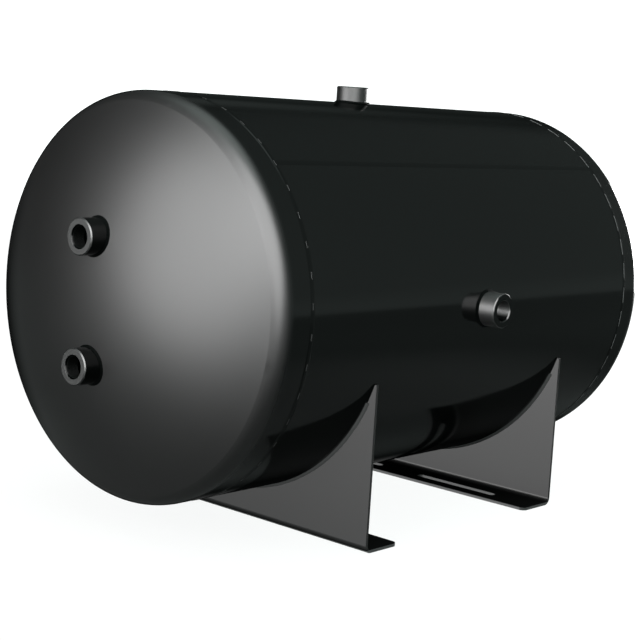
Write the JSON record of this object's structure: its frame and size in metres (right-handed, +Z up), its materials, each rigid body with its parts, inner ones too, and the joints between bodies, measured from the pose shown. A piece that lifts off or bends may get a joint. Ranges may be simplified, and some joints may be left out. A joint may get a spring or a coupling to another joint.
{
  "type": "horizontal pressure tank",
  "caption": "Horizontal welded steel pressure tank with dished heads, tapped pipe couplings and slotted saddle feet, painted satin black.",
  "frame": {"origin": "on the floor, in the middle of the four anchor slots, under the middle of the shell", "axes": "+X to the side that has the side coupling, +Y along the tank from the head with couplings to the plain head, +Z up"},
  "size_m": [0.6415, 1.107, 0.6845],
  "materials": {
    "vessel_paint": "satin black enamel",
    "coupling_paint": "satin black enamel",
    "saddle_paint": "satin black enamel"
  },
  "bodies": {
    "root": {"shell": "vessel_paint", "front_head": "vessel_paint", "rear_head": "vessel_paint", "front_girth_weld": "vessel_paint", "rear_girth_weld": "vessel_paint", "long_seam_weld": "vessel_paint", "upper_head_coupling_weld": "vessel_paint", "lower_head_coupling_weld": "vessel_paint", "top_coupling_weld": "vessel_paint", "side_coupling_weld": "vessel_paint", "front_saddle_outer_weld": "vessel_paint", "front_saddle_inner_weld": "vessel_paint", "rear_saddle_outer_weld": "vessel_paint", "rear_saddle_inner_weld": "vessel_paint", "upper_head_coupling": "coupling_paint", "lower_head_coupling": "coupling_paint", "top_coupling": "coupling_paint", "side_coupling": "coupling_paint", "front_saddle": "saddle_paint", "rear_saddle": "saddle_paint"}
  },
  "joints": []
}
